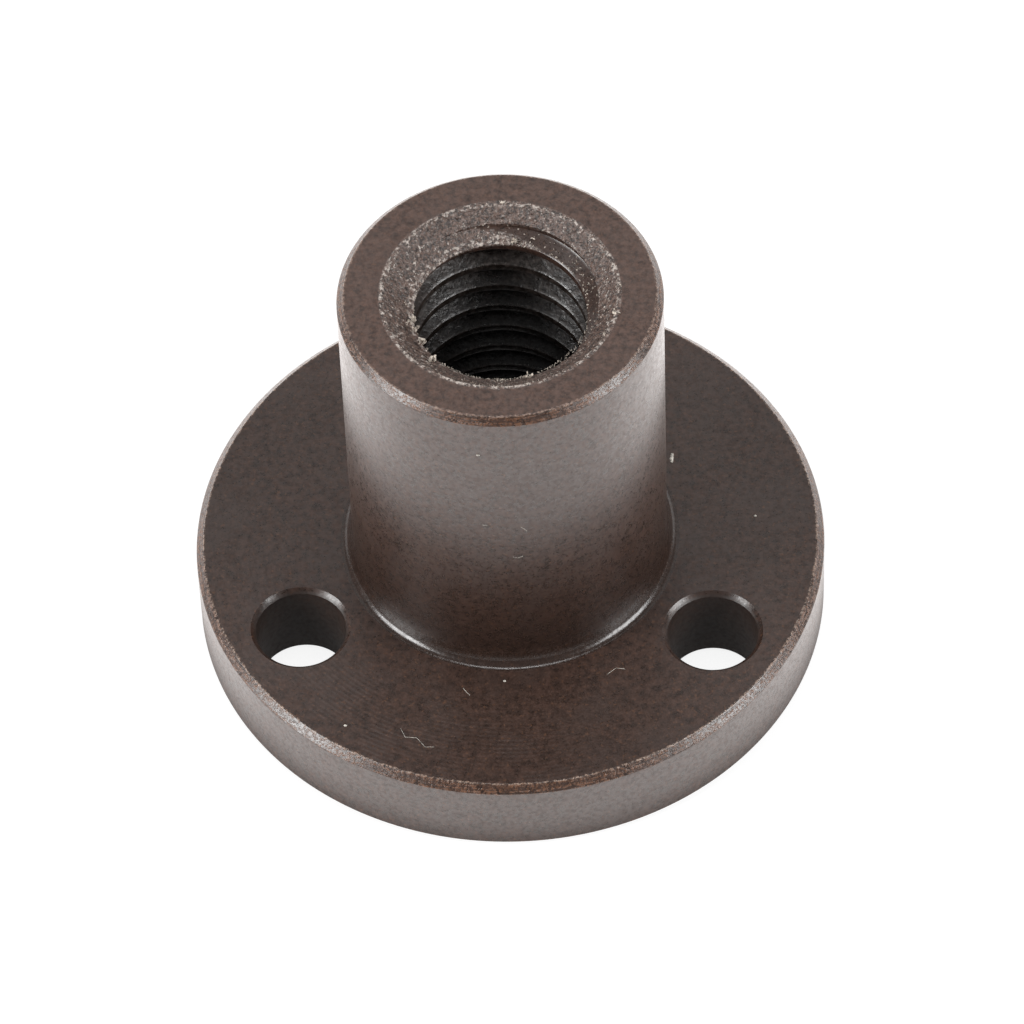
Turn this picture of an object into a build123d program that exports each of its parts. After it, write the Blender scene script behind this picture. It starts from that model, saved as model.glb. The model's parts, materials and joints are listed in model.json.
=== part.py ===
from build123d import *

import os

# Lead screw nut with a round flange, turned in one piece. Millimetres.
# The screw runs along Z. The origin is on its axis, on the flange's mounting face,
# and +Z points out along the hub.

# Flange
flange_diameter = 25.4
flange_thickness = 3.81
flange_edge_chamfer = 0.30

# Hub
hub_diameter = 12.7
hub_projection = 15.24
hub_edge_chamfer = 0.28
hub_root_fillet = 0.45

# Screw thread: the bore is cut to the thread's minor diameter
screw_diameter = 8.0
thread_pitch = 1.25
bore_diameter = screw_diameter - thread_pitch

# Countersinks that lead the screw in at each end of the bore
countersink_angle = 100.0
hub_countersink_width = 0.60
face_countersink_width = 0.30

# Holes for the flange screws
screw_hole_diameter = 3.63
screw_hole_to_rim = 3.175
screw_hole_count = 3
first_screw_hole_angle = 90.0
screw_hole_chamfer = 0.20

# Worked out from the sizes above
flange_radius = flange_diameter / 2
hub_radius = hub_diameter / 2
bore_radius = bore_diameter / 2
nut_length = flange_thickness + hub_projection
screw_hole_circle_radius = flange_radius - screw_hole_to_rim
hub_countersink_diameter = screw_diameter + 2 * hub_countersink_width
face_countersink_diameter = screw_diameter + 2 * face_countersink_width


with BuildPart() as flange_nut:
    # Half section of the turned blank, from the axis out
    with BuildSketch(Plane.XZ):
        with BuildLine():
            Polyline(
                (0, 0),
                (flange_radius, 0),
                (flange_radius, flange_thickness),
                (hub_radius, flange_thickness),
                (hub_radius, nut_length),
                (0, nut_length),
                close=True,
            )
        make_face()
    revolve(axis=Axis.Z)

    # The turning tool's nose leaves a radius in the corner under the hub
    turned_edges = flange_nut.edges().filter_by(GeomType.CIRCLE)
    flange_rims = turned_edges.group_by(SortBy.RADIUS)[-1]
    hub_root, hub_rim = turned_edges.group_by(SortBy.RADIUS)[0].sort_by(Axis.Z)
    fillet(hub_root, radius=hub_root_fillet)
    chamfer(flange_rims, length=flange_edge_chamfer)
    chamfer(hub_rim, length=hub_edge_chamfer)

    # Bore, countersunk from the hub's end and from the mounting face
    hub_end = Plane.XY.offset(nut_length)
    mounting_face = Plane(origin=(0, 0, 0), z_dir=(0, 0, -1))
    with Locations(hub_end):
        CounterSinkHole(
            radius=bore_radius,
            counter_sink_radius=hub_countersink_diameter / 2,
            counter_sink_angle=countersink_angle,
        )
    with Locations(mounting_face):
        CounterSinkHole(
            radius=bore_radius,
            counter_sink_radius=face_countersink_diameter / 2,
            counter_sink_angle=countersink_angle,
        )

    # Flange screw holes, on one circle, with both rims broken
    with Locations(Plane.XY.offset(flange_thickness)):
        with PolarLocations(screw_hole_circle_radius, screw_hole_count, start_angle=first_screw_hole_angle):
            Hole(radius=screw_hole_diameter / 2, depth=flange_thickness)
    screw_hole_rims = flange_nut.edges(Select.LAST).filter_by(GeomType.CIRCLE)
    chamfer(screw_hole_rims, length=screw_hole_chamfer)

flange_nut.part.label = "flange_nut"

os.makedirs("parts", exist_ok=True)
export_step(flange_nut.part, "parts/flange_nut.step")
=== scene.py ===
import json
import math

import bpy
from mathutils import Matrix, Vector


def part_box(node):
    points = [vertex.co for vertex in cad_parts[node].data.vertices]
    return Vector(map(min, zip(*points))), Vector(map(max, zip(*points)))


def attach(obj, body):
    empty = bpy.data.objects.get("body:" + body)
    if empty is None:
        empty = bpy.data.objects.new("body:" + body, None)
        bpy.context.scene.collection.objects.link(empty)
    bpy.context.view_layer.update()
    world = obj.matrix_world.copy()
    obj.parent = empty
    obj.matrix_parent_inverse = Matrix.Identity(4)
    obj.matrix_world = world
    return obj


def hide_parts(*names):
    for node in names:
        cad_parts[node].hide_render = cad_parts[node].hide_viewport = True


# Lead screw nut with a round flange, turned in one piece from a dark filled plastic.
# Metres. The screw runs along Z and the flange's mounting face lies on the floor at Z = 0.

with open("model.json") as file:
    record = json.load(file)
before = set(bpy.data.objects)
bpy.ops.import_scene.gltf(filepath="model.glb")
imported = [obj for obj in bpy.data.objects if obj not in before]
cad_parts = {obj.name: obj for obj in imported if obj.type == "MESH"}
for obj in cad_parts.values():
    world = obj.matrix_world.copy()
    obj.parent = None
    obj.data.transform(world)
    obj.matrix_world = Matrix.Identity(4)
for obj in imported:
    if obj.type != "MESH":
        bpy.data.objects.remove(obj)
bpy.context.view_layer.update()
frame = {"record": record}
mm = 0.001


def socketOf(sockets, name):
    # By identifier first, because some nodes hold several sockets of one name
    known = [socket for socket in sockets if socket.identifier == name]
    return known[0] if known else sockets[name]


class Wire:
    # A node socket that can stand in a sum: each operator adds the Math node it needs
    def __init__(self, graph, socket):
        self.graph = graph
        self.socket = socket

    def __add__(self, other):
        return self.graph.maths("ADD", self, other)

    def __radd__(self, other):
        return self.graph.maths("ADD", other, self)

    def __sub__(self, other):
        return self.graph.maths("SUBTRACT", self, other)

    def __rsub__(self, other):
        return self.graph.maths("SUBTRACT", other, self)

    def __mul__(self, other):
        return self.graph.maths("MULTIPLY", self, other)

    def __rmul__(self, other):
        return self.graph.maths("MULTIPLY", other, self)

    def __truediv__(self, other):
        return self.graph.maths("DIVIDE", self, other)

    def __rtruediv__(self, other):
        return self.graph.maths("DIVIDE", other, self)

    def __pow__(self, other):
        return self.graph.maths("POWER", self, other)

    def __gt__(self, other):
        return self.graph.maths("GREATER_THAN", self, other)

    def __lt__(self, other):
        return self.graph.maths("LESS_THAN", self, other)

    def __abs__(self):
        return self.graph.maths("ABSOLUTE", self)

    def output(self, name):
        return Wire(self.graph, socketOf(self.socket.node.outputs, name))


class Graph:
    def __init__(self, tree):
        self.tree = tree
        self.tree.nodes.clear()

    def node(self, kind, settings=None, values=None, output=0):
        made = self.tree.nodes.new(kind)
        for name, value in (settings or {}).items():
            setattr(made, name, value)
        for name, value in (values or {}).items():
            socket = socketOf(made.inputs, name)
            several = value if isinstance(value, list) else [value]
            for one in several:
                if isinstance(one, Wire):
                    self.tree.links.new(one.socket, socket)
                else:
                    socket.default_value = one
        return Wire(self, socketOf(made.outputs, output)) if made.outputs else made

    def maths(self, operation, *values):
        vectors = any(isinstance(value, Wire) and value.socket.type == "VECTOR" for value in values)
        kind = "ShaderNodeVectorMath" if vectors else "ShaderNodeMath"
        return self.node(kind, {"operation": operation}, dict(enumerate(values)))

    def smooth(self, value, low, high, atLow=0.0, atHigh=1.0):
        # 0 below the low value and 1 above the high one, with an eased step between
        settings = {"interpolation_type": "SMOOTHSTEP"}
        values = {"Value": value, "From Min": low, "From Max": high, "To Min": atLow, "To Max": atHigh}
        return self.node("ShaderNodeMapRange", settings, values)

    def fall(self, value, low, high):
        # The other way round: 1 below the low value and 0 above the high one
        return self.smooth(value, low, high, 1.0, 0.0)

    def band(self, value, centre, halfWidth, edge):
        # 1 within the half width of the centre, falling to 0 over the edge
        return self.fall(abs(value - centre), halfWidth, halfWidth + edge)

    def larger(self, first, second):
        return self.maths("MAXIMUM", first, second)

    def scaled(self, vector, scale):
        return self.node("ShaderNodeVectorMath", {"operation": "SCALE"}, {0: vector, "Scale": scale})

    def joined(self, x, y, z):
        return self.node("ShaderNodeCombineXYZ", None, {"X": x, "Y": y, "Z": z})

    def mixColour(self, factor, first, second):
        settings = {"data_type": "RGBA"}
        values = {"Factor_Float": factor, "A_Color": first, "B_Color": second}
        return self.node("ShaderNodeMix", settings, values, "Result_Color")

    def noise(self, place, scale, detail, roughness):
        values = {"Vector": place, "Scale": scale, "Detail": detail, "Roughness": roughness}
        return self.node("ShaderNodeTexNoise", None, values)


def colour(red, green, blue):
    # A screen colour, 0 to 255, as the linear colour that shaders take
    def linear(value):
        share = value / 255
        return share / 12.92 if share <= 0.04045 else ((share + 0.055) / 1.055) ** 2.4

    return (linear(red), linear(green), linear(blue), 1.0)


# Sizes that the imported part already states
mounts = {mount["name"]: mount for mount in frame["record"]["mounts"]}
lowest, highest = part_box("flange_nut")
threadMount = mounts["screw_thread"]
pilotMount = mounts["hub_pilot"]
holesMount = mounts["flange_screw_holes"]


def endsOf(mount):
    middle = mount["pos_m"][2]
    half = mount["dims"]["length_mm"] * mm / 2
    return middle - half, middle + half


boreFrom, boreTo = endsOf(threadMount)
pilotFrom, pilotTo = endsOf(pilotMount)
nut = {
    "flangeRadius": highest.x,
    "flangeThickness": mounts["hub_side_face"]["pos_m"][2],
    "length": highest.z,
    "hubRadius": pilotMount["dims"]["r_mm"] * mm,
    "minorRadius": threadMount["dims"]["r_mm"] * mm,
    "holeRadius": holesMount["dims"]["hole_r_mm"] * mm,
    "holeCircle": holesMount["dims"]["pcd_mm"] * mm / 2,
    "holeCount": holesMount["dims"]["count"],
    "firstHoleAngle": math.radians(90),
    "flangeChamfer": 0.30 * mm,
    "holeChamfer": 0.20 * mm,
    "pitch": 1.25 * mm,
    "crestWidth": 0.30 * mm,
    "flankWidth": 0.36 * mm,
    "crestTop": 0.20 * mm,  # height of a crest's upper edge, at the +X side, over a whole number of turns
    "crestRounding": 0.07 * mm,
    "rootRounding": 0.06 * mm,
    "sinkAngle": math.radians(100 / 2),
    "edgeRounding": 0.045 * mm,
    "rootRadius": 0.40 * mm,  # of the tool's nose at the foot of the hub
    "rootMeets": math.radians(84),
    "flareRadius": 1.5 * mm,  # of the soft flare above it, up the hub's wall
    "flareMeets": math.radians(28),
    "holdDistance": 0.07 * mm,  # from a rounded corner to the points that hold its flats flat
    "columns": 240,
    "tornDepth": 0.05 * mm,
    "tornSize": 0.30 * mm,
    "sharpAngle": math.radians(28),
}
nut["hubChamfer"] = nut["length"] - pilotTo
nut["majorRadius"] = nut["minorRadius"] + nut["pitch"] / 2
nut["hubSinkRadius"] = nut["minorRadius"] + (nut["length"] - boreTo) * math.tan(nut["sinkAngle"])
nut["faceSinkRadius"] = nut["minorRadius"] + boreFrom * math.tan(nut["sinkAngle"])
nut["flareReach"] = nut["flareRadius"] * (1 - math.cos(nut["flareMeets"]))
noseReach = nut["rootRadius"] * (math.cos(nut["flareMeets"]) - math.cos(nut["rootMeets"]))
nut["rootReach"] = nut["flareReach"] + noseReach


def roundedSection(corners, steps=3):
    # Points of an open outline whose corners, given as (radius, height, rounding), become arcs.
    # A point each side of an arc holds the flats flat under smooth shading.
    places = [Vector(corner[:2]) for corner in corners]
    hold = nut["holdDistance"]
    points = [places[0]]
    for index in range(1, len(corners) - 1):
        corner = places[index]
        rounding = corners[index][2]
        back = (places[index - 1] - corner).normalized()
        on = (places[index + 1] - corner).normalized()
        if rounding == 0:
            points.append(corner)
            continue
        half = back.angle(on) / 2
        reach = rounding / math.tan(half)
        centre = corner + (back + on).normalized() * rounding / math.sin(half)
        first = (corner + back * reach - centre).normalized()
        last = (corner + on * reach - centre).normalized()
        if (places[index - 1] - corner).length > 4 * hold:
            points.append(corner + back * (reach + hold))
        points += [centre + first.slerp(last, step / steps) * rounding for step in range(steps + 1)]
        if (places[index + 1] - corner).length > 4 * hold:
            points.append(corner + on * (reach + hold))
    points.append(places[-1])
    return points


def blankSection():
    # The turned blank, from the axis out along the mounting face and back in over the hub's end
    rim, top = nut["flangeRadius"], nut["flangeThickness"]
    hub, end = nut["hubRadius"], nut["length"]
    cut, broken, rounding = nut["flangeChamfer"], nut["hubChamfer"], nut["edgeRounding"]
    nose, meets, flare, blends = nut["rootRadius"], nut["rootMeets"], nut["flareRadius"], nut["flareMeets"]
    foot = hub + nut["rootReach"]
    flange = [
        (0, 0, 0),
        (rim - cut, 0, rounding),
        (rim, cut, rounding),
        (rim, top - cut, rounding),
        (rim - cut, top, rounding),
        (foot + nut["holdDistance"], top, 0),
    ]
    # A tight radius at the hub's foot, then the flare up its wall
    root = []
    turned, flared = 12, 5
    for index in range(turned + 1):
        turn = meets + (blends - meets) * index / turned
        reach = nut["flareReach"] + nose * (math.cos(blends) - math.cos(turn))
        root.append((hub + reach, top + nose * (math.sin(meets) - math.sin(turn)), 0))
    blendHeight = root[-1][1]
    for index in range(1, flared + 1):
        turn = blends * (1 - index / flared)
        climb = flare * (math.sin(blends) - math.sin(turn))
        root.append((hub + flare * (1 - math.cos(turn)), blendHeight + climb, 0))
    hubSide = [
        (hub, root[-1][1] + nut["holdDistance"], 0),
        (hub, end - broken, rounding),
        (hub - broken, end, rounding),
        (0, end, 0),
    ]
    return roundedSection(flange + root + hubSide)


def toothSection():
    # One pitch of the screw thread, from under a crest to the crest above it
    minor, major, crest = nut["minorRadius"], nut["majorRadius"], nut["crestWidth"]
    flank, pitch, top = nut["flankWidth"], nut["pitch"], nut["crestTop"]
    corners = [
        (minor, top - crest / 2, 0),
        (minor, top, nut["crestRounding"]),
        (major, top + flank, nut["rootRounding"]),
        (major, top + pitch - crest - flank, nut["rootRounding"]),
        (minor, top + pitch - crest, nut["crestRounding"]),
        (minor, top + pitch - crest / 2, 0),
    ]
    return roundedSection(corners, 2)[:-1]


def sinkSection(mouthRadius, rows=18):
    # A countersinking cutter with its mouth in the plane Z = 0 and its nose below it
    slope = math.tan(nut["sinkAngle"])
    nose = nut["minorRadius"] - 0.25 * mm
    over = 0.5 * mm
    low, high = -(mouthRadius - nose) / slope, over
    cone = []
    for index in range(rows + 1):
        height = low + (high - low) * index / rows
        cone.append(Vector((mouthRadius + height * slope, height)))
    return [Vector((0, low))] + cone + [Vector((0, high))]


def drillSection():
    # A drill for a flange screw's hole that also breaks both of the hole's rims
    radius, cut, top = nut["holeRadius"], nut["holeChamfer"], nut["flangeThickness"]
    over = 0.3 * mm
    rounding = 0.03 * mm
    corners = [
        (0, -over, 0),
        (radius + cut + over, -over, 0),
        (radius, cut, rounding),
        (radius, top - cut, rounding),
        (radius + cut + over, top + over, 0),
        (0, top + over, 0),
    ]
    return roundedSection(corners)


def workObject(name, places, edges=()):
    mesh = bpy.data.meshes.new(name)
    mesh.from_pydata(places, edges, [])
    made = bpy.data.objects.new(name, mesh)
    bpy.context.scene.collection.objects.link(made)
    return made


def plainPiece(name, work, piece, given):
    # The mesh that a node tree makes out of the work object, as a piece of its own
    modifier = work.modifiers.new(name, "NODES")
    modifier.node_group = piece.tree
    for key, value in given.items():
        modifier[piece.sockets[key]] = value
    depsgraph = bpy.context.evaluated_depsgraph_get()
    mesh = bpy.data.meshes.new_from_object(work.evaluated_get(depsgraph))
    mesh.name = name
    bpy.data.objects.remove(work)
    made = bpy.data.objects.new(name, mesh)
    bpy.context.scene.collection.objects.link(made)
    return made


class PieceTree:
    # A Geometry Nodes group with named inputs, the first of which is the work object's own mesh
    def __init__(self, name, workMesh, inputs):
        self.tree = bpy.data.node_groups.new(name, "GeometryNodeTree")
        self.graph = Graph(self.tree)
        self.sockets = {}
        face = self.tree.interface
        face.new_socket(workMesh, in_out="INPUT", socket_type="NodeSocketGeometry")
        for each, kind in inputs.items():
            made = face.new_socket(each, in_out="INPUT", socket_type="NodeSocket" + kind)
            self.sockets[each] = made.identifier
        face.new_socket("Piece", in_out="OUTPUT", socket_type="NodeSocketGeometry")
        self.source = self.graph.node("NodeGroupInput")

    def given(self, name):
        return self.source.output(name)

    def transformed(self, geometry, **values):
        values = {name.capitalize(): value for name, value in values.items()}
        return self.graph.node("GeometryNodeTransform", None, {"Geometry": geometry, **values})

    def joinedUp(self, *geometries):
        return self.graph.node("GeometryNodeJoinGeometry", None, {"Geometry": list(geometries)})

    def merged(self, geometry):
        values = {"Geometry": geometry, "Distance": 0.001 * mm}
        return self.graph.node("GeometryNodeMergeByDistance", None, values)

    def finished(self, geometry):
        real = self.graph.node("GeometryNodeRealizeInstances", None, {"Geometry": geometry})
        values = {"Geometry": real, "Material": self.given("Finish")}
        done = self.graph.node("GeometryNodeSetMaterial", None, values)
        self.graph.node("NodeGroupOutput", None, {0: done})


class NutTree(PieceTree):
    # Turns, taps, countersinks and drills the nut out of its half sections
    def __init__(self, sections):
        inputs = {
            "Columns": "Int",
            "Pitch": "Float",
            "Length": "Float",
            "Minor Radius": "Float",
            "Hole Circle": "Float",
            "Hole Count": "Int",
            "First Hole Angle": "Float",
            "Torn Depth": "Float",
            "Torn Size": "Float",
            "Finish": "Material",
        }
        super().__init__("turnedNut", "Sections", inputs)
        self.first = {}
        self.count = {}
        place = 0
        for name, points in sections.items():
            self.first[name] = place
            self.count[name] = len(points)
            place += len(points)
        self.build()

    def sampled(self, index):
        position = self.graph.node("GeometryNodeInputPosition")
        values = {"Geometry": self.given("Sections"), "Value": position, "Index": index}
        settings = {"data_type": "FLOAT_VECTOR", "domain": "POINT"}
        point = self.graph.node("GeometryNodeSampleIndex", settings, values)
        parts = self.graph.node("ShaderNodeSeparateXYZ", None, {0: point})
        return parts.output("X"), parts.output("Z")

    def grid(self, columns, rows):
        # A grid with whole numbers for places, so that a point knows its column and row
        values = {"Size X": columns, "Size Y": rows - 1, "Vertices X": columns + 1, "Vertices Y": rows}
        mesh = self.graph.node("GeometryNodeMeshGrid", None, values)
        position = self.graph.node("GeometryNodeInputPosition")
        parts = self.graph.node("ShaderNodeSeparateXYZ", None, {0: position})
        column = parts.output("X") + columns / 2
        row = self.graph.maths("ROUND", parts.output("Y") + (rows - 1) / 2)
        return mesh, column, row

    def placed(self, mesh, radius, angle, height):
        graph = self.graph
        across = radius * graph.maths("COSINE", angle)
        along = radius * graph.maths("SINE", angle)
        point = graph.joined(across, along, height)
        return self.merged(graph.node("GeometryNodeSetPosition", None, {"Geometry": mesh, "Position": point}))

    def revolved(self, name, columns):
        mesh, column, row = self.grid(columns, self.count[name])
        radius, height = self.sampled(row + (self.first[name] + 0.25))
        return self.placed(mesh, radius, column / columns * math.tau, height)

    def tap(self):
        # The thread's turns, which climb one pitch for each time round, closed by a disc at each end
        graph = self.graph
        columns, pitch, length = self.given("Columns"), self.given("Pitch"), self.given("Length")
        minor = self.given("Minor Radius")
        points = self.count["tooth"]
        spare = 2  # turns past each end, pressed flat against it
        turns = math.ceil(nut["length"] / nut["pitch"]) + 2 * spare
        mesh, column, row = self.grid(columns, turns * points)
        turn = graph.maths("FLOOR", (row + 0.25) / points)
        radius, height = self.sampled(row - turn * points + (self.first["tooth"] + 0.25))
        climbed = height + pitch * (turn - spare + column / columns)
        reach, over = 0.3 * mm, 0.6 * mm
        within = (climbed > -reach) * (climbed < length + reach)
        cutRadius = minor + (radius - minor) * within
        low, high = -over, length + over
        clamped = graph.maths("MINIMUM", graph.maths("MAXIMUM", climbed, low), high)
        skin = self.placed(mesh, cutRadius, column / columns * math.tau, clamped)
        bottom = self.disc(columns, minor, low, True)
        top = self.disc(columns, minor, high, False)
        return self.merged(self.joinedUp(skin, bottom, top))

    def disc(self, columns, radius, height, down):
        graph = self.graph
        values = {"Vertices": columns, "Radius": radius}
        disc = graph.node("GeometryNodeMeshCircle", {"fill_type": "NGON"}, values)
        if down:
            disc = graph.node("GeometryNodeFlipFaces", None, {"Mesh": disc})
        return self.transformed(disc, translation=graph.joined(0.0, 0.0, height))

    def countersink(self, name, height, turnedOver):
        # The cutter tore the plastic, so its cone is roughened before it cuts
        graph = self.graph
        cone = self.revolved(name, self.given("Columns") * 2)
        position = graph.node("GeometryNodeInputPosition")
        scale = mm / self.given("Torn Size")
        torn = graph.noise(graph.scaled(position, 1 / mm), scale, 3.0, 0.65)
        away = graph.node("ShaderNodeVectorMath", {"operation": "MULTIPLY"}, {0: position, 1: (1, 1, 0)})
        away = graph.node("ShaderNodeVectorMath", {"operation": "NORMALIZE"}, {0: away})
        swing = 4  # brings the noise's usual range, a quarter either side of its middle, up to the depth
        offset = graph.scaled(away, (torn - 0.5) * self.given("Torn Depth") * swing)
        cone = graph.node("GeometryNodeSetPosition", None, {"Geometry": cone, "Offset": offset})
        turn = (math.pi, 0, 0) if turnedOver else (0, 0, 0)
        return self.transformed(cone, translation=graph.joined(0.0, 0.0, height), rotation=turn)

    def drills(self):
        graph = self.graph
        one = self.revolved("drill", 96)
        values = {"Vertices": self.given("Hole Count"), "Radius": self.given("Hole Circle")}
        circle = graph.node("GeometryNodeMeshCircle", None, values)
        circle = self.transformed(circle, rotation=graph.joined(0.0, 0.0, self.given("First Hole Angle")))
        several = graph.node("GeometryNodeInstanceOnPoints", None, {"Points": circle, "Instance": one})
        return graph.node("GeometryNodeRealizeInstances", None, {"Geometry": several})

    def build(self):
        graph = self.graph
        length = self.given("Length")
        blank = self.revolved("blank", self.given("Columns"))
        cutters = [
            self.tap(),
            self.countersink("hubSink", length, False),
            self.countersink("faceSink", 0.0, True),
            self.drills(),
        ]
        settings = {"operation": "DIFFERENCE", "solver": "MANIFOLD"}
        cut = graph.node("GeometryNodeMeshBoolean", settings, {"Mesh 1": blank, "Mesh 2": cutters})
        self.finished(graph.node("GeometryNodeSetShadeSmooth", None, {"Geometry": cut}))


def turnedNut():
    sections = {
        "blank": blankSection(),
        "tooth": toothSection(),
        "hubSink": sinkSection(nut["hubSinkRadius"]),
        "faceSink": sinkSection(nut["faceSinkRadius"]),
        "drill": drillSection(),
    }
    places = [(point.x, 0, point.y) for points in sections.values() for point in points]
    given = {
        "Columns": nut["columns"],
        "Pitch": nut["pitch"],
        "Length": nut["length"],
        "Minor Radius": nut["minorRadius"],
        "Hole Circle": nut["holeCircle"],
        "Hole Count": nut["holeCount"],
        "First Hole Angle": nut["firstHoleAngle"],
        "Torn Depth": nut["tornDepth"],
        "Torn Size": nut["tornSize"],
        "Finish": turnedPlastic(),
    }
    made = plainPiece("threaded_nut", workObject("turning", places), NutTree(sections), given)
    made.data.set_sharp_from_angle(angle=nut["sharpAngle"])
    triangles = sum(len(polygon.vertices) - 2 for polygon in made.data.polygons)
    print("nut turned:", len(made.data.vertices), "points,", triangles, "triangles")
    return made


def newMaterial(name):
    material = bpy.data.materials.new(name)
    material.use_nodes = True
    return material, Graph(material.node_tree)


plastic = {
    # Colours as seen on a screen
    "dark": colour(37, 26, 21),
    "light": colour(71, 50, 41),
    "cloudy": colour(61, 48, 43),
    "brownSpeck": colour(116, 80, 56),
    "darkSpeck": colour(20, 14, 12),
    "brokenEdge": colour(112, 76, 54),
    # painted highlight along the broken edges' inner borders
    "rubbedEdge": colour(176, 156, 142),
    "tornFloor": colour(106, 84, 74),
    "tornFibre": colour(206, 195, 186),
    # painted light on the hub's end, lighter than the body
    "hubEnd": colour(99, 75, 65),
    # painted shade in the bore and the screw holes; the bore's pale scuffs are partly painted light
    "bore": colour(34, 27, 23),
    "boreScuff": colour(104, 92, 86),
    "roughness": 0.30,
    "refraction": 1.75,
    "porousRoughness": 0.5,
    "porousRefraction": 1.3,
    "ringSpacing": 0.20,  # of the facing cut's rings, in millimetres
    "streaksAcross": 14.0,  # features per millimetre out from the axis and up
    "streaksRound": 6.0,  # features per radian round the turn
    "noises": {
        # shift in millimetres, features per millimetre, detail, roughness
        "grain": ((0.0, 0.0, 0.0), 10.0, 3.0, 0.6),
        "soft": ((0.0, 0.0, 0.0), 3.2, 3.0, 0.6),
        "cloud": ((0.0, 0.0, 0.0), 0.45, 3.0, 0.5),
        "pits": ((0.0, 0.0, 0.0), 8.0, 3.0, 0.7),
        "wander": ((0.0, 0.0, 0.0), 0.8, 2.0, 0.5),
        "brown": ((31.0, 7.0, 2.0), 7.0, 2.0, 0.7),
        "black": ((3.0, 17.0, 9.0), 9.0, 3.0, 0.7),
        "lumps": ((9.0, 4.0, 1.0), 3.4, 3.0, 0.65),
        "lint": ((5.0, 1.0, 8.0), 7.0, 3.0, 0.75),
        "bare": ((2.0, 6.0, 3.0), 0.9, 2.0, 0.5),
        "mottle": ((4.0, 8.0, 5.0), 5.5, 2.0, 0.5),
    },
    "relief": {
        # heights in millimetres
        "grain": 0.0034,
        "soft": 0.005,
        "rings": 0.0019,
        "brokenPits": 0.026,
        "brokenStreaks": 0.030,
        "tornPits": 0.05,
        "tornLumps": 0.16,
        "boreLumps": 0.035,
    },
}


class NutZones:
    # Where each finish lies, from the radius out from the screw's axis and the height, in millimetres
    def __init__(self, graph, point):
        self.graph = graph
        parts = graph.node("ShaderNodeSeparateXYZ", None, {0: point})
        self.x, self.y, self.height = parts, parts.output("Y"), parts.output("Z")
        self.radius = graph.maths("SQRT", self.x * self.x + self.y * self.y)
        self.size = {name: value / mm for name, value in nut.items()}

    def near(self, radius, height, reach, edge):
        # 1 at a circle round the axis, falling to 0 past the reach
        aside = self.radius - radius
        above = self.height - height
        away = self.graph.maths("SQRT", aside * aside + above * above)
        return self.graph.fall(away, reach, reach + edge)

    def holes(self):
        # The flange screws' holes and their broken rims
        nearest = None
        for index in range(nut["holeCount"]):
            turn = nut["firstHoleAngle"] + math.tau * index / nut["holeCount"]
            aside = self.x - self.size["holeCircle"] * math.cos(turn)
            along = self.y - self.size["holeCircle"] * math.sin(turn)
            away = self.graph.maths("SQRT", aside * aside + along * along)
            nearest = away if nearest is None else self.graph.maths("MINIMUM", nearest, away)
        wall = self.size["holeRadius"]
        return self.graph.fall(nearest, wall + 0.03, wall + 0.12)

    def broken(self, slant, edge, ragged):
        # What lies past a broken edge's border, which wanders by the ragged value
        soft = 0.05
        return self.graph.smooth(slant + ragged, edge - soft, edge)

    def brokenEdges(self, ragged):
        graph, size = self.graph, self.size
        rim, top, cut = size["flangeRadius"], size["flangeThickness"], size["flangeChamfer"]
        outside = self.radius > rim - cut * 2
        upper = self.broken(self.radius + self.height, rim + top - cut, ragged) * outside
        under = self.broken(self.radius - self.height, rim - cut, ragged) * outside
        hub, end, cut = size["hubRadius"], size["length"], size["hubChamfer"]
        outer = self.broken(self.radius + self.height, hub + end - cut, ragged)
        outer = outer * (self.radius > hub - cut * 1.3)
        return graph.larger(graph.larger(upper, under), outer)

    def paintedEdgeHighlights(self):
        # The inner borders of the flange's and the hub's broken edges, where a highlight is painted
        size = self.size
        flange = self.near(size["flangeRadius"] - size["flangeChamfer"], size["flangeThickness"], 0.02, 0.05)
        hub = self.near(size["hubRadius"] - size["hubChamfer"], size["length"], 0.02, 0.05)
        return self.graph.larger(flange, hub)

    def countersink(self):
        # The torn cone at the hub's end, down to where the thread's turns are whole
        graph, size = self.graph, self.size
        end = size["length"]
        cone = size["hubSinkRadius"] + (self.height - end) * math.tan(nut["sinkAngle"])
        return graph.band(self.radius, cone, 0.10, 0.06) * graph.smooth(self.height, end - 1.2, end - 1.0)

    def tornRims(self):
        # The countersink's two rims, where most fibres stand
        mouth = self.near(self.size["hubSinkRadius"], self.size["length"], 0.05, 0.10)
        throat = self.near(self.size["minorRadius"] + 0.1, boreTo / mm + 0.08, 0.10, 0.16)
        return self.graph.larger(mouth, throat)

    def bore(self):
        graph, wall, end = self.graph, self.size["majorRadius"], self.size["length"]
        inside = graph.fall(self.radius, wall + 0.05, wall + 0.12)
        return inside * graph.fall(self.height, end - 2.2, end - 1.2)

    def hubRoot(self):
        # The curves that the tool left under the hub
        graph, size = self.graph, self.size
        low = graph.fall(self.height, size["flangeThickness"] + 0.5, size["flangeThickness"] + 0.6)
        foot = size["hubRadius"] + size["rootReach"]
        return low * graph.fall(self.radius, foot, foot + 0.02) * (self.radius > size["hubRadius"] - 0.05)

    def wallFootShade(self):
        # Painted shade on the lower part of the hub's wall, at its strongest on the flange
        graph, top = self.graph, self.size["flangeThickness"]
        onWall = self.radius < self.size["hubRadius"] + self.size["rootReach"]
        return graph.smooth(self.height, top + 0.2, top + 6.0, 0.5, 0.0) * (onWall * (self.height > top))

    def facedFlange(self):
        graph, size = self.graph, self.size
        onFace = self.radius < size["flangeRadius"] - size["flangeChamfer"]
        return graph.band(self.height, size["flangeThickness"], 0.01, 0.01) * onFace

    def hubEnd(self):
        end = self.size["length"]
        return self.graph.smooth(self.height, end - 0.03, end - 0.01)


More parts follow.
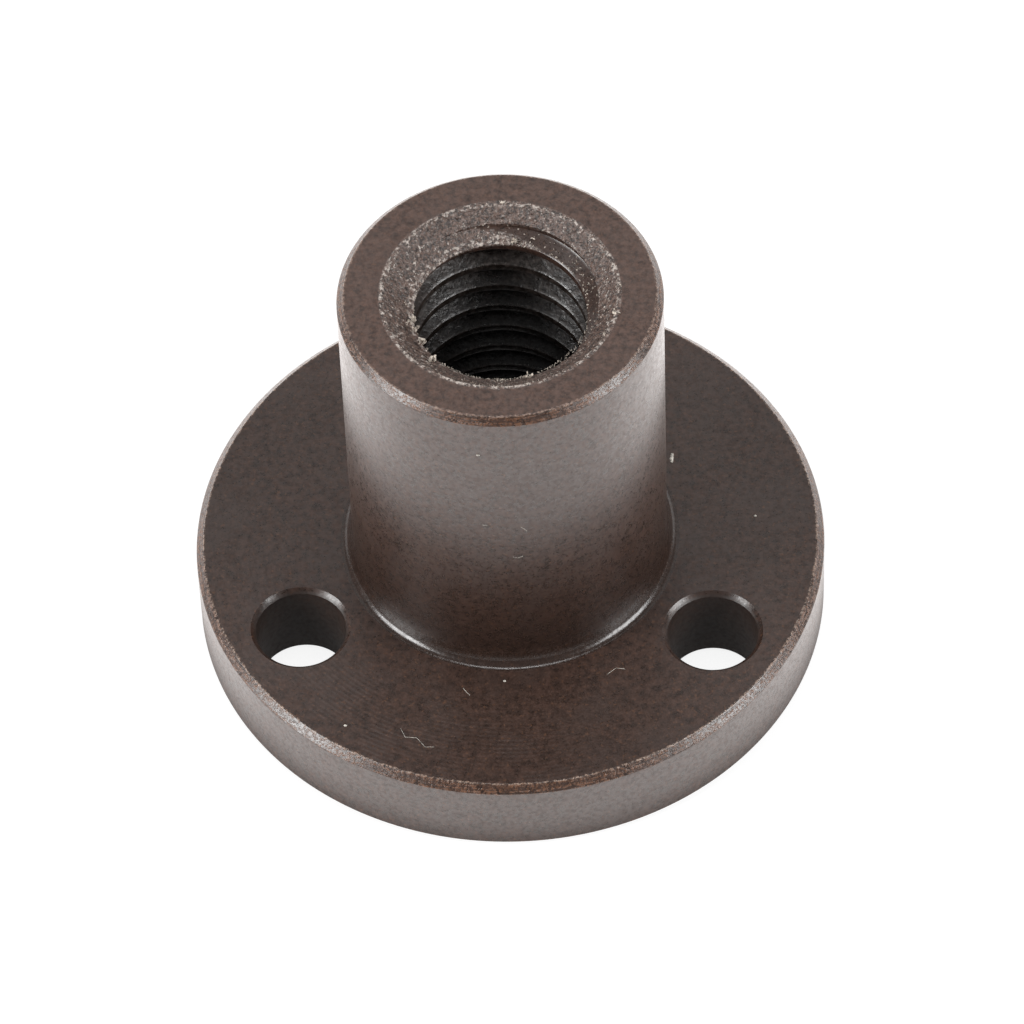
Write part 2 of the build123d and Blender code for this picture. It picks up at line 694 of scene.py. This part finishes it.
class NutFinish:
    # The plastic's colour, roughness, relief and pores, all from one set of noises and zones
    def __init__(self, graph):
        self.graph = graph
        point = graph.scaled(graph.node("ShaderNodeTexCoord", None, None, "Object"), 1 / mm)
        self.noise = {}
        for name, (shift, scale, detail, roughness) in plastic["noises"].items():
            self.noise[name] = graph.noise(point + shift, scale, detail, roughness)
        self.zones = zones = NutZones(graph, point)
        self.brokenEdges = zones.brokenEdges((self.noise["pits"] - 0.54) * 0.45)
        self.torn, self.bore, self.holes = zones.countersink(), zones.bore(), zones.holes()
        self.faced, self.root, self.hubEnd = zones.facedFlange(), zones.hubRoot(), zones.hubEnd()
        self.shade = graph.smooth(self.noise["grain"] * 0.40 + self.noise["soft"] * 0.60, 0.30, 0.70)
        self.specks = graph.smooth(self.noise["black"], 0.56, 0.70)
        self.scuffs = graph.smooth(self.noise["lint"] * 0.5 + self.noise["lumps"] * 0.5, 0.46, 0.60)
        self.streaks = self.streaksRound()

    def streaksRound(self):
        # Long round the turn, as a cutting tool leaves them
        graph, zones, across = self.graph, self.zones, plastic["streaksAcross"]
        angle = graph.maths("ARCTAN2", zones.x, zones.y * -1.0)
        place = graph.joined(zones.radius * across, zones.height * across, angle * plastic["streaksRound"])
        return graph.noise(place, 1.0, 3.0, 0.6)

    def bodyColour(self):
        # Fine filler grain, soft mottling and wide clouds, with brown and dark specks
        graph, noise = self.graph, self.noise
        base = graph.mixColour(self.shade, plastic["dark"], plastic["light"])
        base = graph.mixColour(graph.smooth(noise["cloud"], 0.45, 0.65) * 0.5, base, plastic["cloudy"])
        base = graph.mixColour(graph.smooth(noise["brown"], 0.60, 0.70) * 0.35, base, plastic["brownSpeck"])
        return graph.mixColour(self.specks * 0.14, base, plastic["darkSpeck"])

    def brokenColour(self, base):
        # Broken edges show the plastic's brown body in streaks, and a pale painted highlight runs along their
        # borders
        graph, noise = self.graph, self.noise
        shown = graph.smooth(self.streaks * 0.6 + noise["pits"] * 0.4, 0.4, 0.6)
        brown = graph.mixColour(shown, plastic["dark"], plastic["brokenEdge"])
        base = graph.mixColour(self.brokenEdges * 0.85, base, brown)
        edgeGlint = self.zones.paintedEdgeHighlights() * graph.smooth(noise["pits"] + noise["grain"] * 0.4, 0.64, 0.84)
        return graph.mixColour(edgeGlint * 0.6, base, plastic["rubbedEdge"])

    def tornColour(self, base):
        # Pale fibres stand in clumps on the countersink, closest along its rims
        graph, noise = self.graph, self.noise
        uneven = graph.smooth(noise["pits"], 0.35, 0.65)
        floor = graph.mixColour(uneven, plastic["dark"], plastic["tornFloor"])
        clumps = graph.smooth(noise["lumps"], 0.44, 0.58)
        bare = graph.smooth(noise["bare"], 0.40, 0.56)
        fibres = graph.smooth(noise["lint"], 0.54, 0.64) * (0.10 + clumps * 0.80) * (0.25 + bare * 0.75)
        along = graph.smooth(noise["lint"] * 0.6 + noise["lumps"] * 0.4, 0.48, 0.59)
        fibres = graph.larger(fibres, self.zones.tornRims() * along * 0.8)
        return graph.mixColour(self.torn, base, graph.mixColour(fibres, floor, plastic["tornFibre"]))

    def boreShadeColour(self, base):
        # Painted shade: the bore and the screw holes' walls are darkened; the pale scuffs on the bore are
        # partly painted light
        graph = self.graph
        scuffed = graph.mixColour(self.scuffs * 0.35, plastic["bore"], plastic["boreScuff"])
        base = graph.mixColour(self.bore, base, scuffed)
        return graph.mixColour(self.holes * 0.5, base, plastic["bore"])

    def hubShadeAndLightColour(self, base):
        # Painted shade, darkest at the foot of the hub's wall, and painted light, lighter on its end
        graph = self.graph
        # Painted shade at the foot of the wall and in the curve under the hub
        foot = graph.larger(self.zones.wallFootShade(), self.root * 0.6)
        base = graph.mixColour(foot, base, plastic["dark"])
        # Painted light: the hub's end is made lighter, in a mottle
        shown = self.hubEnd * (1 - self.torn) * (0.06 + self.shade * 0.60)
        return graph.mixColour(shown, base, plastic["hubEnd"])

    def colour(self):
        base = self.bodyColour()
        for layer in (self.brokenColour, self.tornColour, self.boreShadeColour, self.hubShadeAndLightColour):
            base = layer(base)
        return base

    def roughness(self):
        uneven = plastic["roughness"] + (self.noise["grain"] - 0.5) * 0.25 + (self.noise["soft"] - 0.5) * 0.15
        cut = self.torn * 0.12 + self.faced * 0.02 + self.bore * self.scuffs * 0.12
        return uneven + cut + self.hubEnd * 0.08 + self.holes * 0.14 - self.root * 0.07

    def facingRings(self):
        # Rings on the flange, deepest towards its rim on the -X -Y side
        graph, noise, zones = self.graph, self.noise, self.zones
        ring = graph.maths("SINE", zones.radius * (math.tau / plastic["ringSpacing"]) + noise["wander"] * 1.5)
        side = graph.smooth((zones.x * -0.75 + zones.y * -0.65) / zones.radius, 0.1, 0.9)
        outer = side * graph.smooth(zones.radius, 7.5, 10.5) * graph.smooth(noise["cloud"], 0.34, 0.58)
        return ring * self.faced * (0.10 + outer)

    def height(self):
        relief, noise, broken = plastic["relief"], self.noise, self.brokenEdges
        height = (noise["grain"] - 0.5) * relief["grain"] + self.facingRings() * relief["rings"]
        height = height + (noise["soft"] - 0.5) * relief["soft"]
        pitted = broken * relief["brokenPits"] + self.torn * relief["tornPits"]
        height = height + (noise["pits"] - 0.5) * pitted
        height = height + (self.streaks - 0.5) * broken * relief["brokenStreaks"]
        lumpy = self.torn * relief["tornLumps"] + self.bore * relief["boreLumps"]
        return height + (noise["lumps"] - 0.5) * lumpy

    def pores(self):
        return self.specks * 0.08 + self.graph.smooth(self.noise["mottle"], 0.36, 0.72) * 0.34


def turnedPlastic():
    material, graph = newMaterial("turnedPlastic")
    finish = NutFinish(graph)
    base = finish.colour()
    bump = graph.node("ShaderNodeBump", None, {"Strength": 1.0, "Distance": mm, "Height": finish.height()})
    polished = {
        "Base Color": base,
        "Roughness": finish.roughness(),
        "IOR": plastic["refraction"],
        "Normal": bump,
    }
    porous = {
        "Base Color": base,
        "Roughness": plastic["porousRoughness"],
        "IOR": plastic["porousRefraction"],
        "Normal": bump,
    }
    values = {
        0: finish.pores(),
        1: graph.node("ShaderNodeBsdfPrincipled", None, polished),
        2: graph.node("ShaderNodeBsdfPrincipled", None, porous),
    }
    shader = graph.node("ShaderNodeMixShader", None, values)
    graph.node("ShaderNodeOutputMaterial", None, {"Surface": shader})
    return material


def plainFinish(name, shade, roughness):
    # One shade, with darker patches
    material, graph = newMaterial(name)
    point = graph.scaled(graph.node("ShaderNodeTexCoord", None, None, "Object"), 1 / mm)
    uneven = graph.smooth(graph.noise(point, 9.0, 2.0, 0.6), 0.35, 0.65)
    darker = tuple(part * 0.45 for part in shade[:3]) + (1.0,)
    base = graph.mixColour(uneven, darker, shade)
    shader = graph.node("ShaderNodeBsdfPrincipled", None, {"Base Color": base, "Roughness": roughness})
    graph.node("ShaderNodeOutputMaterial", None, {"Surface": shader})
    return material


burrs = {
    # Torn flakes that the countersink left in the mouth, in millimetres and degrees
    "fine": 1500,
    "fineSize": 0.095,
    "coarseSize": 0.25,
    "perTear": 7,
    "tearSpread": 0.24,
    "chipShape": (1.0, 0.45, 0.22),
    "chipRagged": 0.28,
    "seed": 7,
    "shade": colour(222, 210, 196),
    "roughness": 0.55,
    "tears": (
        # radius, azimuth, height
        (3.42, -168, 18.42),
        (3.60, -163, 18.60),
        (3.50, -157, 18.60),
        (3.58, -146, 18.58),
        (3.78, -131, 18.52),
        (3.80, -72, 18.50),
        (3.48, 83, 18.20),
        (4.63, 90, 18.97),
        (4.62, 6, 18.97),
        (4.61, -10, 18.97),
        (4.53, -24, 18.93),
    ),
}
burrs["tears"] = [(radius * mm, math.radians(turn), height * mm) for radius, turn, height in burrs["tears"]]


class FlakeTree(PieceTree):
    # Strews small torn flakes over the countersink and heaps some at the given tears
    def __init__(self):
        inputs = {
            "Fine Flakes": "Int",
            "Flakes At A Tear": "Int",
            "Fine Size": "Float",
            "Coarse Size": "Float",
            "Tear Spread": "Float",
            "Mouth Radius": "Float",
            "Mouth Height": "Float",
            "Slope": "Float",
            "Depth": "Float",
            "Seed": "Int",
            "Finish": "Material",
        }
        super().__init__("tornFlakes", "Tears", inputs)
        self.build()

    def random(self, low, high, step):
        values = {"Min_001": low, "Max_001": high, "Seed": self.given("Seed") + step}
        return self.graph.node("FunctionNodeRandomValue", {"data_type": "FLOAT"}, values, "Value_001")

    def randomVector(self, low, high, step):
        values = {"Min": (low, low, low), "Max": (high, high, high), "Seed": self.given("Seed") + step}
        return self.graph.node("FunctionNodeRandomValue", {"data_type": "FLOAT_VECTOR"}, values)

    def flakes(self, points, size, step):
        # Each flake is a small ragged chip: a ball of few faces, flattened and with its points moved
        graph = self.graph
        chip = graph.node("GeometryNodeMeshIcoSphere", None, {"Radius": 0.5, "Subdivisions": 1})
        ragged = burrs["chipRagged"]
        moved = {"Geometry": chip, "Offset": self.randomVector(-ragged, ragged, step)}
        chip = graph.node("GeometryNodeSetPosition", None, moved)
        chip = self.transformed(chip, scale=burrs["chipShape"])
        values = {
            "Points": points,
            "Instance": chip,
            "Rotation": self.randomVector(0, math.tau, step + 1),
            "Scale": size * self.random(0.4, 1.2, step + 2),
        }
        return graph.node("GeometryNodeInstanceOnPoints", None, values)

    def build(self):
        graph = self.graph
        # Closer together towards -Y, where the cutter lifted the plastic most
        aside = self.random(-1, 1, 1)
        turn = aside * abs(aside) ** 0.6 * math.pi - math.pi / 2
        # and closer together at the countersink's two rims
        depth = (0.5 - 0.5 * graph.maths("COSINE", self.random(0, math.pi, 2))) * self.given("Depth")
        radius = self.given("Mouth Radius") - depth * self.given("Slope")
        across = radius * graph.maths("COSINE", turn)
        along = radius * graph.maths("SINE", turn)
        height = self.given("Mouth Height") - depth - self.given("Fine Size") * 0.3
        values = {"Count": self.given("Fine Flakes"), "Position": graph.joined(across, along, height)}
        strewn = graph.node("GeometryNodePoints", None, values)
        tears = graph.node("GeometryNodeMeshToPoints", None, {"Mesh": self.given("Tears")})
        values = {"Geometry": tears, "Amount": self.given("Flakes At A Tear")}
        heaped = graph.node("GeometryNodeDuplicateElements", {"domain": "POINT"}, values)
        spread = graph.scaled(self.randomVector(-0.5, 0.5, 3), self.given("Tear Spread"))
        heaped = graph.node("GeometryNodeSetPosition", None, {"Geometry": heaped, "Offset": spread})
        fine = self.flakes(strewn, self.given("Fine Size"), 10)
        coarse = self.flakes(heaped, self.given("Coarse Size"), 20)
        self.finished(self.joinedUp(fine, coarse))


def tornBurrs():
    places = []
    for radius, turn, height in burrs["tears"]:
        places.append((radius * math.cos(turn), radius * math.sin(turn), height))
    given = {
        "Fine Flakes": burrs["fine"],
        "Flakes At A Tear": burrs["perTear"],
        "Fine Size": burrs["fineSize"] * mm,
        "Coarse Size": burrs["coarseSize"] * mm,
        "Tear Spread": burrs["tearSpread"] * mm,
        "Mouth Radius": nut["hubSinkRadius"],
        "Mouth Height": nut["length"],
        "Slope": math.tan(nut["sinkAngle"]),
        "Depth": nut["length"] - boreTo,
        "Seed": burrs["seed"],
        "Finish": plainFinish("tornFibre", burrs["shade"], burrs["roughness"]),
    }
    made = plainPiece("torn_burrs", workObject("tears", places), FlakeTree(), given)
    print("burrs torn:", len(made.data.polygons), "faces")
    return made


dust = {
    # Specks of lint and fine hairs that lie on the nut, in millimetres and degrees
    "shade": colour(222, 216, 206),
    "roughness": 0.6,
    "speckSize": 0.14,
    "speckShape": (1.0, 0.7, 0.5),
    "hairRadius": 0.008,
    "onFlange": (
        # radius and azimuth of the points of each hair, or of one speck
        ((7.36, -90),),
        ((9.95, 6),),
        ((11.47, -123),),
        ((7.51, 30.4),),
        ((7.55, 30.9),),
        ((7.59, 31.4),),
        ((7.57, 31.6),),
        ((7.64, 31.9),),
        ((7.68, 32.4),),
        ((7.72, 32.9),),
        ((7.9, -102), (8.03, -101), (8.2, -99.5)),
        ((8.1, -60), (8.0, -56.5), (8.24, -54.6)),
        ((10.56, -112.5), (10.86, -110.8), (10.74, -108.4), (11.06, -106), (10.96, -104.2)),
    ),
    "onHub": (
        # height and azimuth
        ((16.98, -96.4),),
        ((12.6, -96), (12.6, -94)),
        ((12.46, -82.5), (12.30, -81.2), (12.16, -80.4)),
        ((10.6, -85.7), (10.5, -84), (10.6, -82.2)),
    ),
}


class DustTree(PieceTree):
    # Gives the dust its body: single points become specks and lines become hairs
    def __init__(self):
        inputs = {"Speck Size": "Float", "Hair Radius": "Float", "Finish": "Material"}
        super().__init__("surfaceDust", "Places", inputs)
        self.build()

    def build(self):
        graph = self.graph
        joinedTo = graph.node("GeometryNodeInputMeshVertexNeighbors")
        values = {"Mesh": self.given("Places"), "Selection": joinedTo < 0.5}
        single = graph.node("GeometryNodeMeshToPoints", None, values)
        chip = graph.node("GeometryNodeMeshIcoSphere", None, {"Radius": 0.5, "Subdivisions": 2})
        chip = self.transformed(chip, scale=dust["speckShape"])
        values = {"Points": single, "Instance": chip, "Scale": self.given("Speck Size")}
        specks = graph.node("GeometryNodeInstanceOnPoints", None, values)
        lines = graph.node("GeometryNodeMeshToCurve", None, {"Mesh": self.given("Places")})
        values = {"Resolution": 6, "Radius": self.given("Hair Radius")}
        ring = graph.node("GeometryNodeCurvePrimitiveCircle", None, values)
        values = {"Curve": lines, "Profile Curve": ring, "Fill Caps": True}
        hairs = graph.node("GeometryNodeCurveToMesh", None, values)
        self.finished(self.joinedUp(specks, hairs))


def surfaceDust():
    lift = dust["hairRadius"] * 0.6 * mm
    points, edges = [], []
    for kind in ("onFlange", "onHub"):
        for hair in dust[kind]:
            for index, (reach, degrees) in enumerate(hair):
                turn = math.radians(degrees)
                radius = reach * mm if kind == "onFlange" else nut["hubRadius"] + lift
                height = nut["flangeThickness"] + lift if kind == "onFlange" else reach * mm
                points.append((radius * math.cos(turn), radius * math.sin(turn), height))
                if index:
                    edges.append((len(points) - 2, len(points) - 1))
    given = {
        "Speck Size": dust["speckSize"] * mm,
        "Hair Radius": dust["hairRadius"] * mm,
        "Finish": plainFinish("paleDust", dust["shade"], dust["roughness"]),
    }
    made = plainPiece("surface_dust", workObject("dustPlaces", points, edges), DustTree(), given)
    print("dust laid:", len(made.data.polygons), "faces")
    return made


studio = {
    "floorHalf": 2.0,
    "floorPaint": colour(225, 225, 225),
    "floorShadow": (0.2, 0.2, 0.2, 1),
    "floorGlow": 0.88,  # to the camera; mirrors see it brighter by the next two
    "mirroredGlow": 0.80,
    # painted light: mirrors see the floor behind the nut glow brighter
    "behindGlow": 0.45,
    # painted shadow: the glow that mirrors see is taken away under the nut
    "coveredGlow": 0.73,  # taken away under the nut, where mirrors see its shadow
    "behindFrom": -13 * mm,
    "mirroredTint": colour(255, 250, 248),
    "fill": 0.13,  # the world's strength to all rays but the camera's
    "seen": 1.0,  # and to the camera
}


def studioFloor():
    # The camera and mirrors see a white floor with the nut's shadow on it. Other rays see pale paint.
    # Mirrors also see a painted shadow under the nut and painted light behind it
    material, graph = newMaterial("paleFloor")
    path = graph.node("ShaderNodeLightPath")
    mirrored = graph.larger(path.output("Is Glossy Ray"), path.output("Is Transmission Ray"))
    seen = graph.larger(path.output("Is Camera Ray"), mirrored)
    place = graph.node("ShaderNodeTexCoord", None, None, "Object")
    away = graph.node("ShaderNodeVectorMath", {"operation": "LENGTH"}, {0: place}, "Value")
    # A painted shadow under the nut and painted light behind it, for mirrors only
    paintedShadow = graph.fall(away, nut["flangeRadius"] * 0.97, nut["flangeRadius"] * 1.12)
    along = graph.node("ShaderNodeSeparateXYZ", None, {0: place}).output("Y")
    bright = studio["mirroredGlow"] + graph.smooth(along, studio["behindFrom"], 0.0) * studio["behindGlow"]
    strength = studio["floorGlow"] + mirrored * (bright - paintedShadow * (bright + studio["coveredGlow"]))
    paint = graph.node("ShaderNodeBsdfDiffuse", None, {"Color": studio["floorPaint"]})
    shadow = graph.node("ShaderNodeBsdfDiffuse", None, {"Color": studio["floorShadow"]})
    tint = graph.mixColour(mirrored, (1, 1, 1, 1), studio["mirroredTint"])
    glow = graph.node("ShaderNodeEmission", None, {"Color": tint, "Strength": strength})
    white = graph.node("ShaderNodeAddShader", None, {0: shadow, 1: glow})
    both = graph.node("ShaderNodeMixShader", None, {0: seen, 1: paint, 2: white})
    graph.node("ShaderNodeOutputMaterial", None, {"Surface": both})
    half = studio["floorHalf"]
    mesh = bpy.data.meshes.new("floor")
    corners = [(-half, -half, 0), (half, -half, 0), (half, half, 0), (-half, half, 0)]
    mesh.from_pydata(corners, [], [(0, 1, 2, 3)])
    mesh.materials.append(material)
    made = bpy.data.objects.new("floor", mesh)
    bpy.context.scene.collection.objects.link(made)
    return made


def studioWorld():
    world = bpy.data.worlds.new("studio")
    world.use_nodes = True
    graph = Graph(world.node_tree)
    path = graph.node("ShaderNodeLightPath")
    fill = graph.node("ShaderNodeBackground", None, {"Color": (1, 1, 1, 1), "Strength": studio["fill"]})
    white = graph.node("ShaderNodeBackground", None, {"Color": (1, 1, 1, 1), "Strength": studio["seen"]})
    both = graph.node("ShaderNodeMixShader", None, {0: path.output("Is Camera Ray"), 1: fill, 2: white})
    graph.node("ShaderNodeOutputWorld", None, {"Surface": both})
    bpy.context.scene.world = world


lamps = {
    # name: azimuth and elevation in degrees, distance, width, height, brightness
    "overhead": (93, 88, 0.75, 0.28, 0.20, 7.5),
    "backdrop": (93, 14, 0.90, 3.00, 0.50, 0.8),
    "sky": (93, 54, 0.90, 1.40, 0.56, 0.36),
    "left": (-158, 27, 0.70, 0.34, 0.42, 10.5),
    "right": (-15, 27, 0.70, 0.34, 0.42, 8.5),
}


def studioLamps():
    for name, (azimuth, elevation, distance, width, height, brightness) in lamps.items():
        data = bpy.data.lights.new(name, "AREA")
        data.shape = "RECTANGLE"
        data.size = width
        data.size_y = height
        data.energy = brightness * math.pi * width * height
        made = bpy.data.objects.new(name, data)
        turn, rise = math.radians(azimuth), math.radians(elevation)
        way = Vector((math.cos(turn) * math.cos(rise), math.sin(turn) * math.cos(rise), math.sin(rise)))
        made.location = way * distance + Vector((0, 0, nut["length"] / 2))
        made.rotation_euler = way.to_track_quat("Z", "Y").to_euler()
        bpy.context.scene.collection.objects.link(made)


camera = {
    "azimuth": 3.55,  # degrees from the -Y side, seen from above and counted to +X
    "elevation": 52.123,
    "roll": -2.398,
    "distance": 281.79 * mm,
    "aimHeight": 5.289 * mm,
    "aimAside": 0.117 * mm,
    "pixels": 1024,
    "focalPixels": 7000,
    "sensor": 36.0,
}


def studioCamera():
    turn, rise = math.radians(camera["azimuth"]), math.radians(camera["elevation"])
    roll = math.radians(camera["roll"])
    side = Vector((math.cos(turn), math.sin(turn), 0))
    back = Vector((math.sin(turn) * math.cos(rise), -math.cos(turn) * math.cos(rise), math.sin(rise)))
    up = back.cross(side)
    across = side * math.cos(roll) + up * math.sin(roll)
    upright = up * math.cos(roll) - side * math.sin(roll)
    aim = side * camera["aimAside"] + Vector((0, 0, camera["aimHeight"]))
    place = aim + back * camera["distance"]
    data = bpy.data.cameras.new("camera")
    data.sensor_width = camera["sensor"]
    data.sensor_fit = "HORIZONTAL"
    data.lens = camera["focalPixels"] * camera["sensor"] / camera["pixels"]
    data.clip_start = 0.01
    made = bpy.data.objects.new("camera", data)
    made.matrix_world = Matrix((across, upright, back)).transposed().to_4x4()
    made.location = place
    bpy.context.scene.collection.objects.link(made)
    bpy.context.scene.camera = made


threadedNut = turnedNut()
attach(threadedNut, "root")
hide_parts("flange_nut")
for piece in (tornBurrs(), surfaceDust()):
    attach(piece, "root")
print("pieces placed")

studioFloor()
studioWorld()
studioLamps()
studioCamera()
bpy.context.scene.view_settings.view_transform = "Standard"
print("studio set")
